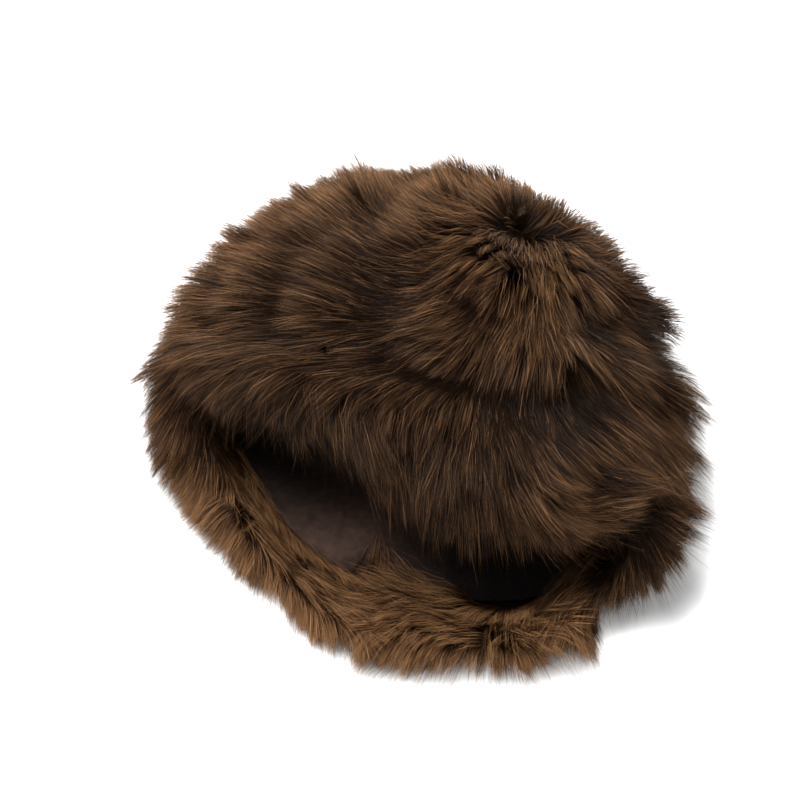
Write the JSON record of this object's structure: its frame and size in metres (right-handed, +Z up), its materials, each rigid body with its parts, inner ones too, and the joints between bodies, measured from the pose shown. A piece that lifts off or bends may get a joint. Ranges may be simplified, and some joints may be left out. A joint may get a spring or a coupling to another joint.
{
  "type": "russian fur hat with ear flaps, lying on its back",
  "caption": "Deep brown long-haired fur hat with ear flaps and a soft dark lining, lying on its back with the head opening towards the front.",
  "frame": {"origin": "middle of the hat's box, on the surface that it lies on", "axes": "+X to the wearer's side seen at the right from the front, +Y towards the far end of the crown, away from the head opening, +Z up from the surface"},
  "size_m": [0.2928, 0.2716, 0.1343],
  "materials": {
    "fur": "long soft brown hair with golden brown tips",
    "lining_nap": "short smooth dark brown nap"
  },
  "bodies": {
    "root": {"crown_left_panel": "fur", "crown_right_panel": "fur", "crown_under_panel": "fur", "front_band": "fur", "left_ear_flap": "fur", "right_ear_flap": "fur", "nape_band": "fur", "lining": "lining_nap"}
  },
  "joints": []
}
